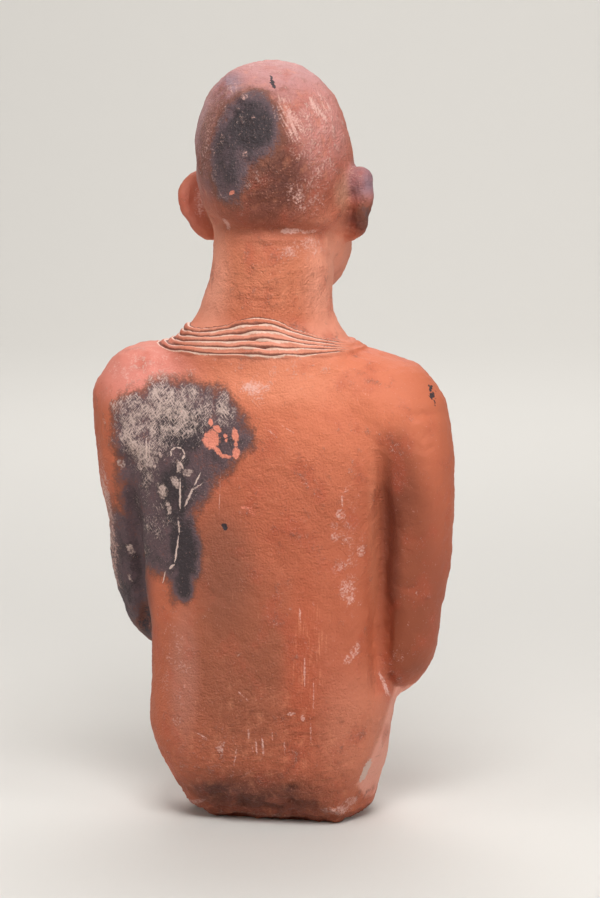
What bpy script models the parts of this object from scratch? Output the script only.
"""Terracotta half figure, hand modelled in one piece and cut off by an old break at the hips.

The shape is built up as a modeller in clay would do it. Trunk, arms, neck and skull are laid together and
the clay is thumbed into the corners between them. Then come the ears, nose, brows and hands, and last the
thin strips of clay for lids, lips, fingers and necklace. The whole is thinned to facets and cut level.
+Z is up, the figure faces -Y, and the origin is in the middle of the box's underside.
"""

import math

import bmesh
import bpy
import numpy as np
from mathutils import Matrix, Vector
from mathutils.bvhtree import BVHTree

# Driving sizes, in metres.
HEIGHT = 0.380  # from the broken foot to the crown
STRAND_RADIUS = 0.0020  # of the strips of clay round the neck
STRAND_COUNT = 5
MOST_TRIANGLES = 9400

# The tables below are in one unit, U, which is about a millimetre, and these are the levels that they give to
# the foot and the crown.
CUT_LEVEL = 3
CROWN_LEVEL = 378
U = HEIGHT / (CROWN_LEVEL - CUT_LEVEL)

CLAY_COLOUR = (0.47, 0.155, 0.075, 1.0)
CLAY_ROUGHNESS = 0.78

GRAIN = 1.0  # the grid on which clay laid together is made one skin
RING_POINTS = 64
RING_STEP = 3.0  # height from one ring of a loft to the next
COIL_SIDES = 6  # bevel resolution of a coil, for 16 sides

# How far clay is thumbed into the corners that each stage of the work leaves.
BODY_FILLET = 4.5
FEATURE_FILLET = 2.0

# Height, middle across, half width, middle front to back, half depth, and how square the ring is behind.
TRUNK = (
    (-30, -8, 38, 0, 34, 2.6),
    (-6, -7, 43, 0, 37, 2.6),
    (10, -6.5, 46.5, 0, 39, 2.6),
    (28, -4, 54.5, 0, 41.5, 2.8),
    (48, -1.5, 60, 0, 42.5, 3.0),
    (64, -2.5, 60.5, 0, 41, 3.2),
    (84, 0.3, 57, -1, 39, 3.4),
    (110, 2, 58.5, -1, 37.5, 3.4),
    (140, 3, 60.5, 0, 37, 3.4),
    (168, 3, 64, 1, 36.5, 3.2),
    (184, 2, 70, 2, 36, 2.9),
    (200, 0, 74, 3, 35.5, 2.6),
    (214, -1, 72, 3, 34, 2.4),
    (228, 0, 58, 3, 32, 2.3),
    (238, 2, 46.5, 4, 31, 2.2),
    (245, 1.2, 39.5, 4, 30.5, 2.1),
    (252, 0, 34, 4, 29.5, 2.0),
    (262, -0.7, 31.8, 4, 29, 2.0),
    (274, -2.5, 30.2, 4, 28.5, 2.0),
    (288, -3, 28.8, 4, 28, 2.0),
    (306, -3, 28.8, 4, 27, 2.0),
)
FRONT_SQUARENESS = 2.3  # the chest and belly are rounder than the back

# The shoulders, from the figure's right to its left: across, front to back, height, radius.
YOKE = (
    (-63.5, 3, 209.5, 23.2),
    (-38, 4, 215, 24),
    (0, 5, 214, 23),
    (36, 4, 216.4, 22.9),
    (59.4, 3, 214.7, 24.3),
)
YOKE_DEPTH = 1.22  # depth of the shoulders, as a share of their height
LIMB_DEPTH = 1.24  # depth of an arm, as a share of its width

# Each arm from the shoulder to the wrist: across, front to back, height, radius.
RIGHT_ARM = (
    (-67.5, 5, 204.5, 22.5),
    (-72, 7, 188, 21),
    (-75, 4, 150, 17.5),
    (-71.5, 0, 112, 16.5),
    (-66, -5, 84, 15.5),
    (-58, -15, 74, 14),
    (-43, -29, 77, 12),
    (-25, -38, 82, 10),
    (-12, -41, 85, 8.5),
)
LEFT_ARM = (
    (63, 5, 211, 23.5),
    (65, 6, 190, 20.5),
    (65, -1, 150, 16.3),
    (63.3, -9, 120, 15.5),
    (58, -15, 100, 14.5),
    (50, -24, 93, 13),
    (36, -34, 102, 11.5),
    (20, -39.5, 112, 10),
    (9, -41.5, 116, 8.5),
)

# Each hand lies on the belly: wrist and knuckles, and the rest in its own lengths.
RIGHT_HAND = ((-12, -41, 85), (8, -41, 89))
LEFT_HAND = ((10, -41.5, 117), (-10, -41, 121))
PALM_SIZE = (14, 5.5, 10.5)
PALM_SHARE = 0.6  # of the way from wrist to knuckles
FINGER_COUNT = 4
FINGER_PITCH = 4.8
FINGER_RADIUS = 2.7
FINGER_REACH = 20
FINGER_ROOT_SHARE = 0.75
FINGER_ARCH = 1.6  # how far a finger stands out at its middle
FINGER_FALL = 1.5  # how much shorter each finger is than the one beside it, counted from the longest
LONGEST_FINGER = 1.3
TIP_SHARE = 0.8  # radius at a tip, as a share of that at the root
THUMB_RADIUS = 3.1
THUMB_REACH = 12
THUMB_ROOT_SHARE = 0.3
THUMB_RISE = 3.5

# The skull and jaw about the level of the eyes: height, half width, middle front to back, half depth.
SKULL = (
    (-60, 7, -29, 7),
    (-54, 16, -25, 15),
    (-44, 23.5, -17, 25),
    (-33, 28.5, -9, 33),
    (-22, 33, -3, 40),
    (-10, 36, 1, 44),
    (2, 37.5, 2.5, 46),
    (15, 37.5, 3, 45.5),
    (28, 36, 3.5, 41.5),
    (40, 30.5, 3.5, 34.5),
    (50, 22, 3, 25),
    (55.5, 13, 2.5, 15),
    (58, 5, 2, 6),
)
HEAD_PLACE = (-5, -4, 320)
HEAD_TURN = math.radians(-10)  # to the figure's right
HEAD_LEAN = math.radians(7.7)  # towards its left shoulder

# The face is a plain one on the usual proportions: places on its left half, which the right half mirrors.
SOCKET = (15.5, -46, 1)
SOCKET_SIZE = (15, 15, 12)
SOCKET_DEPTH = 6.5
CHEEK = (21, -36, -16)
CHEEK_SIZE = (15, 18, 14)
CHEEK_SWELL = (1.2, -3.4, 0)
BROW = ((3, -41, 8, 2.0), (11, -41.5, 11, 3.0), (21, -36.5, 10.5, 2.8), (29, -28, 5, 1.8))
NOSE = ((0, -40, 13, 3.6), (0, -43.5, 2, 4.0), (0, -47, -10, 5.0), (0, -49.5, -18.5, 6.2))
NOSTRIL = (6.6, -44.5, -21)
NOSTRIL_SIZE = (4.8, 5.4, 4.4)
MOUTH = (0, -31, -37)
MOUTH_SIZE = (15, 10.5, 10)
CHIN = (0, -31, -54)
CHIN_SIZE = (11, 10, 7.5)
EYE = (15.5, -34.5, 0.5)
EYE_SIZE = (9.5, 6.5, 6.5)
UPPER_LID = (
    (6.2, -39.0, -1.2, 0.9),
    (10.2, -40.6, 2.4, 1.6),
    (16, -41.2, 4.0, 1.8),
    (22, -38.2, 2.4, 1.6),
    (26, -33.5, -1.0, 0.9),
)
LOWER_LID = (
    (7.0, -39.0, -1.8, 0.8),
    (11, -39.9, -3.6, 1.2),
    (16, -39.9, -4.4, 1.3),
    (21.5, -37.1, -3.6, 1.2),
    (25.5, -33.5, -1.6, 0.8),
)
UPPER_LIP = ((0, -41.6, -35.0, 2.5), (5, -40.9, -34.3, 2.5), (14, -34.4, -37.0, 1.1))
LOWER_LIP = ((0, -40.8, -40.2, 2.9), (6, -39.2, -39.8, 2.6), (13, -34.4, -37.8, 1.1))
EAR_RIM = (
    (33, -11, -1, 2.6),
    (39, -7, 2.5, 3.7),
    (44, -1, 0, 4.1),
    (46, 3, -8, 3.9),
    (43.5, 3, -16.5, 3.5),
    (39.5, -1, -23.5, 3.7),
    (33.5, -6, -26.5, 3.0),
)
EAR_SHELL = ((33, -4, -1, 3.5), (38.5, -3, -6, 4), (38.5, -2, -15, 4), (34, -4, -22, 3.5))
EAR_SHIFTS = ((3.2, 0, 2), (-2.8, 0, -5.5))  # the left ear stands out and the right one is low
EAR_KNOB = ((42.2, 2, -5.5), (5.5, 6, 6.5))  # a thick place at the top of the right one

# Low swellings and dents of the trunk and the nape: place, half sizes of the patch, and push.
TOUCHES = (
    ((-34, 38, 180), (34, 30, 36), (0, 1.2, 0)),
    ((38, 38, 186), (34, 30, 36), (0, 1.2, 0)),
    ((-30, -32, 182), (36, 30, 32), (0, -3.6, 0)),
    ((32, -32, 186), (36, 30, 32), (0, -3.6, 0)),
    ((1, -42, 58), (44, 30, 40), (0, -5.0, 0)),
    ((0, -46, 52), (6, 10, 5), (0, 3.6, 0)),
)

# Where wear or a wet hand left the shoulders and the edge of the break smooth: middle and half sizes.
WIPED = (
    ((-60, 24, 196), (34, 34, 44)),
    ((58, 24, 202), (34, 34, 40)),
    ((-56, -20, 196), (30, 30, 30)),
    ((56, -20, 200), (30, 30, 30)),
    ((-6, 36, 20), (66, 22, 18)),
)
WIPES = 200
WIPE_PULL = 0.5

# The corner between each arm and the trunk, pressed in with a finger: across, front to back, height, depth.
RIGHT_CREASE = (
    (-57, 37, 198, 0),
    (-59, 35, 182, 3.2),
    (-59.6, 32, 165, 5),
    (-59.2, 27, 130, 5),
    (-58.8, 25, 100, 5),
    (-59, 22, 72, 3.5),
)
LEFT_CREASE = (
    (69, 37, 194, 0),
    (66.5, 36, 180, 3.5),
    (64.6, 31, 160, 4.5),
    (63.2, 23, 131, 4.5),
    (61.8, 13, 98, 3.5),
)
CREASE_RADIUS = 3.4
FLAT = (1.0, 0.12, 1.0)  # creases are placed as seen from behind, so how deep they lie counts for little

# The strands lie where slanting lines round the neck meet it. These are the heights at which those lines for
# the lowest and the highest strand pass NECK_RADIUS from the neck's axis, at its left, right, back and front.
LOWEST_STRAND = (224, 224.5, 239.5, 223)
HIGHEST_STRAND = (242, 231, 251.5, 242)
STRAND_SLANT = math.radians(40)
STRAND_RISE = (4.0, 1.75, 0.6)  # how far the highest strand rises behind, at which turn, and how wide
STRAND_POINTS = 36
STRAND_SINK = 0.2  # of its radius
NECK_AXIS = (1, 4)
NECK_RADIUS = 33
STRAND_START = 40  # from there back to where the slanting lines begin, clear of the chin

# What the breaks took off: a point on each plane, and the way that the plane faces.
BREAKS = (
    ((0, 37, 17), (0.05, 0.65, -0.76)),
    ((46, 22, 16), (0.47, 0.22, -0.86)),
    ((-52, 22, 12), (-0.53, 0.20, -0.82)),
    ((45, -8, 12), (0.80, -0.22, -0.56)),
    ((-50, -14, 12), (-0.62, -0.30, -0.72)),
    ((4, -38, 13), (0.05, -0.62, -0.78)),
)
SHAVED_FLANK = ((-50.2, 29, 33), (-0.86, 0.45, -0.32))


def clear_scene():
    """Empties the scene that Blender opened with."""
    for old in list(bpy.data.objects):
        bpy.data.objects.remove(old, do_unlink=True)


def smooth_rows(rows, step):
    """Rows about `step` apart in their first column, on a smooth curve through the rows given."""
    given = np.array(rows, float)
    keys = given[:, 0]
    slopes = np.gradient(given, keys, axis=0)
    count = max(2, round((keys[-1] - keys[0]) / step) + 1)
    out = []
    for key in np.linspace(keys[0], keys[-1], count):
        i = min(int(np.searchsorted(keys, key, side="right")) - 1, len(keys) - 2)
        span = keys[i + 1] - keys[i]
        t = (key - keys[i]) / span
        out.append(
            (2 * t**3 - 3 * t**2 + 1) * given[i]
            + (t**3 - 2 * t**2 + t) * span * slopes[i]
            + (3 * t**2 - 2 * t**3) * given[i + 1]
            + (t**3 - t**2) * span * slopes[i + 1]
        )
    return out


def loft(bm, rows, place):
    """A solid through level rings, from an ellipse towards a rounded square as squareness grows from 2."""
    rings = []
    for z, x, half_width, y, half_depth, squareness in smooth_rows(rows, RING_STEP):
        ring = []
        for k in range(RING_POINTS):
            turn = 2 * math.pi * k / RING_POINTS
            power = 2 / (squareness if math.sin(turn) > 0 else min(squareness, FRONT_SQUARENESS))
            across = math.copysign(abs(math.cos(turn)) ** power, math.cos(turn))
            along = math.copysign(abs(math.sin(turn)) ** power, math.sin(turn))
            ring.append(bm.verts.new(place @ Vector((x + half_width * across, y + half_depth * along, z))))
        rings.append(ring)
    bm.faces.new(reversed(rings[0]))
    for low, high in zip(rings, rings[1:]):
        for k in range(RING_POINTS):
            n = (k + 1) % RING_POINTS
            bm.faces.new((low[k], low[n], high[n], high[k]))
    bm.faces.new(rings[-1])


def pellet(bm, middle, size, place=Matrix()):
    """A pellet of clay: an ellipsoid with the half sizes given."""
    shape = place @ Matrix.Translation(middle) @ Matrix.Diagonal((*size, 1))
    ball = bmesh.new()
    bmesh.ops.create_uvsphere(ball, u_segments=24, v_segments=16, radius=1, matrix=shape)
    mesh = bpy.data.meshes.new("pellet")
    ball.to_mesh(mesh)
    ball.free()
    bm.from_mesh(mesh)


def coil(bm, points, place=Matrix(), depth_share=1.0, closed=False):
    """A rolled coil of clay with round ends, through (across, front to back, height, radius) points."""
    curve = bpy.data.curves.new("coil", "CURVE")
    curve.dimensions = "3D"
    curve.bevel_depth = 1.0
    curve.bevel_resolution = COIL_SIDES
    curve.use_fill_caps = not closed
    line = curve.splines.new("BEZIER")
    line.bezier_points.add(len(points) - 1)
    line.radius_interpolation = "CARDINAL"
    line.use_cyclic_u = closed
    for knot, (x, y, z, radius) in zip(line.bezier_points, points):
        knot.co = (x, y / depth_share, z)
        knot.radius = radius
        knot.handle_left_type = knot.handle_right_type = "AUTO"
    holder = bpy.data.objects.new("coil", curve)
    bpy.context.scene.collection.objects.link(holder)
    graph = bpy.context.evaluated_depsgraph_get()
    mesh = bpy.data.meshes.new_from_object(holder.evaluated_get(graph))
    mesh.transform(place @ Matrix.Diagonal((1, depth_share, 1, 1)))
    bm.from_mesh(mesh)
    bpy.data.objects.remove(holder)
    if not closed:
        for x, y, z, radius in (points[0], points[-1]):
            pellet(bm, (x, y, z), (radius, radius * depth_share, radius), place)


def pressed(bm, middle, size, push, place=Matrix()):
    """Moves the skin round a place by a push that fades to nothing at the patch's edge, as a thumb does."""
    into = place @ Matrix.Translation(middle) @ Matrix.Diagonal((*size, 1))
    back = into.inverted()
    push = place.to_3x3() @ Vector(push)
    for vert in bm.verts:
        near = 1 - (back @ vert.co).length
        if near > 0:
            vert.co += push * fading(near)


def fading(near):
    """From 1 in the middle of a patch, where near is 1, to 0 at its edge."""
    return near * near * (3 - 2 * near)


def wiped(bm, patches):
    """Evens out the skin inside each patch, less and less towards the edge of it."""
    bm.verts.index_update()
    places = np.array([vert.co[:] for vert in bm.verts])
    count = len(places)
    starts, ends = np.array([[vert.index for vert in edge.verts] for edge in bm.edges]).T
    links = np.bincount(starts, minlength=count) + np.bincount(ends, minlength=count)
    pull = np.zeros(count)
    for middle, size in patches:
        away = np.linalg.norm((places - middle) / size, axis=1)
        pull = np.maximum(pull, WIPE_PULL * fading((1 - away).clip(0, 1)))
    for _ in range(WIPES):
        for axis in range(3):
            old = places[:, axis]
            around = np.bincount(starts, old[ends], count) + np.bincount(ends, old[starts], count)
            places[:, axis] = old + pull * (around / links - old)
    for vert, place in zip(bm.verts, places):
        vert.co = place


def creased(bm, line):
    """Presses a crease into the back of the skin along (across, front to back, height, depth) points."""
    bm.normal_update()
    places = np.array([vert.co[:] for vert in bm.verts])
    cuts = np.zeros(len(places))
    for start, end in zip(line, line[1:]):
        run = np.subtract(end[:3], start[:3]) * FLAT
        there = (places - start[:3]) * FLAT
        share = (there @ run / (run @ run)).clip(0, 1)
        away = np.linalg.norm(there - share[:, None] * run, axis=1)
        depth = start[3] + share * (end[3] - start[3])
        cuts = np.maximum(cuts, depth * np.exp(-((away / CREASE_RADIUS) ** 2)))
    cuts[places[:, 1] < 0] = 0
    for vert, cut in zip(bm.verts, cuts):
        vert.co -= vert.normal * cut


def shaved(bm, point, direction):
    """Presses everything beyond a plane back onto it."""
    point, direction = Vector(point), Vector(direction).normalized()
    for vert in bm.verts:
        beyond = (vert.co - point).dot(direction)
        if beyond > 0:
            vert.co -= direction * beyond


def fused(bm, fillet):
    """One skin round the shapes in bm. A fillet is how far clay is thumbed into the corners between them."""
    bmesh.ops.recalc_face_normals(bm, faces=bm.faces)
    mesh = bpy.data.meshes.new("clay")
    bm.to_mesh(mesh)
    bm.free()
    lump = bpy.data.objects.new("clay", mesh)
    bpy.context.scene.collection.objects.link(lump)
    for swelling in (fillet, -fillet, 0) if fillet else (0,):
        skin = lump.modifiers.new("skin", "REMESH")
        skin.mode = "VOXEL"
        skin.voxel_size = GRAIN
        if swelling:
            swell = lump.modifiers.new("swell", "DISPLACE")
            swell.mid_level = 0
            swell.strength = swelling
    graph = bpy.context.evaluated_depsgraph_get()
    out = bmesh.new()
    out.from_mesh(bpy.data.meshes.new_from_object(lump.evaluated_get(graph)))
    bpy.data.objects.remove(lump)
    return out


def head_place():
    """From the head's own frame to the figure's."""
    lean = Matrix.Rotation(HEAD_LEAN, 4, "Y")
    turn = Matrix.Rotation(HEAD_TURN, 4, "Z")
    return Matrix.Translation(HEAD_PLACE) @ lean @ turn


def face_halves():
    """The head's frame, and the same frame mirrored for the other half of the face."""
    place = head_place()
    return (place, place @ Matrix.Diagonal((-1, 1, 1, 1)))


def lay_masses():
    """Trunk, shoulders, arms and skull, made one, and then pressed into shape."""
    bm = bmesh.new()
    loft(bm, TRUNK, Matrix())
    coil(bm, YOKE, depth_share=YOKE_DEPTH)
    coil(bm, RIGHT_ARM, depth_share=LIMB_DEPTH)
    coil(bm, LEFT_ARM, depth_share=LIMB_DEPTH)
    skull_rows = [(z, 0, half_width, y, half_depth, 2.0) for z, half_width, y, half_depth in SKULL]
    loft(bm, skull_rows, head_place())
    bm = fused(bm, BODY_FILLET)
    for plane in (SHAVED_FLANK, *BREAKS):
        shaved(bm, *plane)
    wiped(bm, WIPED)
    for middle, size, push in TOUCHES:
        pressed(bm, middle, size, push)
    creased(bm, RIGHT_CREASE)
    creased(bm, LEFT_CREASE)
    for half in face_halves():
        pressed(bm, CHEEK, CHEEK_SIZE, CHEEK_SWELL, half)
        pressed(bm, SOCKET, SOCKET_SIZE, (0, SOCKET_DEPTH, 0), half)
    return bm


def lay_features(bm):
    """Ears, brows, nose, mouth, chin and the flat of each hand, laid on and worked in."""
    for half, shift in zip(face_halves(), EAR_SHIFTS):
        pellet(bm, NOSTRIL, NOSTRIL_SIZE, half)
        coil(bm, BROW, half)
        coil(bm, EAR_RIM, half @ Matrix.Translation(shift))
        coil(bm, EAR_SHELL, half @ Matrix.Translation(shift))
    pellet(bm, *EAR_KNOB, face_halves()[1])
    middle = head_place()
    coil(bm, NOSE, middle)
    pellet(bm, MOUTH, MOUTH_SIZE, middle)
    pellet(bm, CHIN, CHIN_SIZE, middle)
    for wrist, knuckles in (RIGHT_HAND, LEFT_HAND):
        pellet(bm, Vector(wrist).lerp(knuckles, PALM_SHARE), PALM_SIZE)
    return fused(bm, FEATURE_FILLET)


def lay_fingers(bm, wrist, knuckles):
    """Four fingers side by side from the knuckles on, and the thumb lying up from the wrist."""
    wrist, knuckles = Vector(wrist), Vector(knuckles)
    along = (knuckles - wrist).normalized()
    up = Vector((0, 0, 1))
    for k in range(FINGER_COUNT):
        start = wrist.lerp(knuckles, FINGER_ROOT_SHARE) + up * FINGER_PITCH * ((FINGER_COUNT - 1) / 2 - k)
        end = start + along * (FINGER_REACH - FINGER_FALL * abs(k - LONGEST_FINGER))
        middle = start.lerp(end, 0.5) + Vector((0, -FINGER_ARCH, 0))
        coil(bm, ((*start, FINGER_RADIUS), (*middle, FINGER_RADIUS), (*end, FINGER_RADIUS * TIP_SHARE)))
    root = wrist.lerp(knuckles, THUMB_ROOT_SHARE) + up * PALM_SIZE[2] / 2
    tip = root + along * THUMB_REACH + up * THUMB_RISE
    coil(bm, ((*root, THUMB_RADIUS), (*tip, THUMB_RADIUS * TIP_SHARE)))


def strand_height(share, turn):
    """Height of a strand, from the lowest at share 0 to the highest at 1, at an angle round the neck."""
    heights = (low + share * (high - low) for low, high in zip(LOWEST_STRAND, HIGHEST_STRAND))
    left, right, back, front = heights
    side = left if math.cos(turn) > 0 else right
    end = back if math.sin(turn) > 0 else front
    rise, middle, width = STRAND_RISE
    hump = share * rise * math.exp(-(((turn - middle) / width) ** 2))
    return side + (end - side) * abs(math.sin(turn)) ** 1.5 + hump


def lay_necklace(bm):
    """Strands round the foot of the neck, one above the other, sunk a little into the skin below."""
    skin = BVHTree.FromBMesh(bm)
    radius = STRAND_RADIUS / U
    for k in range(STRAND_COUNT):
        points = []
        for step in range(STRAND_POINTS):
            turn = 2 * math.pi * step / STRAND_POINTS
            height = strand_height(k / (STRAND_COUNT - 1), turn)
            outward = Vector((math.cos(turn), math.sin(turn), 0))
            slanting = outward * math.cos(STRAND_SLANT) + Vector((0, 0, math.sin(STRAND_SLANT)))
            start = Vector((*NECK_AXIS, height)) + outward * NECK_RADIUS + slanting * STRAND_START
            hit, _, _, _ = skin.ray_cast(start, -slanting)
            points.append((*(hit - slanting * STRAND_SINK * radius), radius))
        coil(bm, points, closed=True)


def lay_strips(bm):
    """The thin strips of clay: eyes and lids, lips, fingers and necklace."""
    lay_necklace(bm)
    for half in face_halves():
        pellet(bm, EYE, EYE_SIZE, half)
        for strip in (UPPER_LID, LOWER_LID, UPPER_LIP, LOWER_LIP):
            coil(bm, strip, half)
    lay_fingers(bm, *RIGHT_HAND)
    lay_fingers(bm, *LEFT_HAND)
    return fused(bm, 0)


def clay_material():
    """Fired red clay."""
    clay = bpy.data.materials.new("fired_clay")
    clay.use_nodes = True
    shader = clay.node_tree.nodes["Principled BSDF"]
    shader.inputs["Base Color"].default_value = CLAY_COLOUR
    shader.inputs["Roughness"].default_value = CLAY_ROUGHNESS
    shader.inputs["Metallic"].default_value = 0.0
    return clay


def ground_cutter():
    """A block whose top is the level that the figure stands on."""
    size = 2 * HEIGHT
    block = bmesh.new()
    bmesh.ops.create_cube(block, size=size, matrix=Matrix.Translation((0, 0, -size / 2)))
    mesh = bpy.data.meshes.new("ground_cut")
    block.to_mesh(mesh)
    block.free()
    cutter = bpy.data.objects.new("ground_cut", mesh)
    bpy.context.scene.collection.objects.link(cutter)
    cutter.hide_render = True
    cutter.display_type = "WIRE"
    return cutter


def stand_on_origin(figure):
    """Sinks the figure to the level of its cut and centres it on the origin."""
    figure.location.z = -CUT_LEVEL * U
    bpy.context.view_layer.update()
    graph = bpy.context.evaluated_depsgraph_get()
    corners = [Vector(corner) for corner in figure.evaluated_get(graph).bound_box]
    middle = (corners[0] + corners[6]) / 2
    figure.location.xy = (-middle.x, -middle.y)


def build_figure():
    """Models the figure, thins the skin to facets and cuts the foot level."""
    bm = lay_strips(lay_features(lay_masses()))
    mesh = bpy.data.meshes.new("figure")
    bm.to_mesh(mesh)
    bm.free()
    mesh.transform(Matrix.Diagonal((U, U, U, 1)))
    mesh.shade_smooth()
    mesh.materials.append(clay_material())
    figure = bpy.data.objects.new("figure", mesh)
    bpy.context.scene.collection.objects.link(figure)

    mesh.calc_loop_triangles()
    thin = figure.modifiers.new("thin", "DECIMATE")
    thin.ratio = MOST_TRIANGLES / len(mesh.loop_triangles)
    level = figure.modifiers.new("level_foot", "BOOLEAN")
    level.operation = "DIFFERENCE"
    level.object = ground_cutter()
    stand_on_origin(figure)


def main():
    clear_scene()
    build_figure()


main()
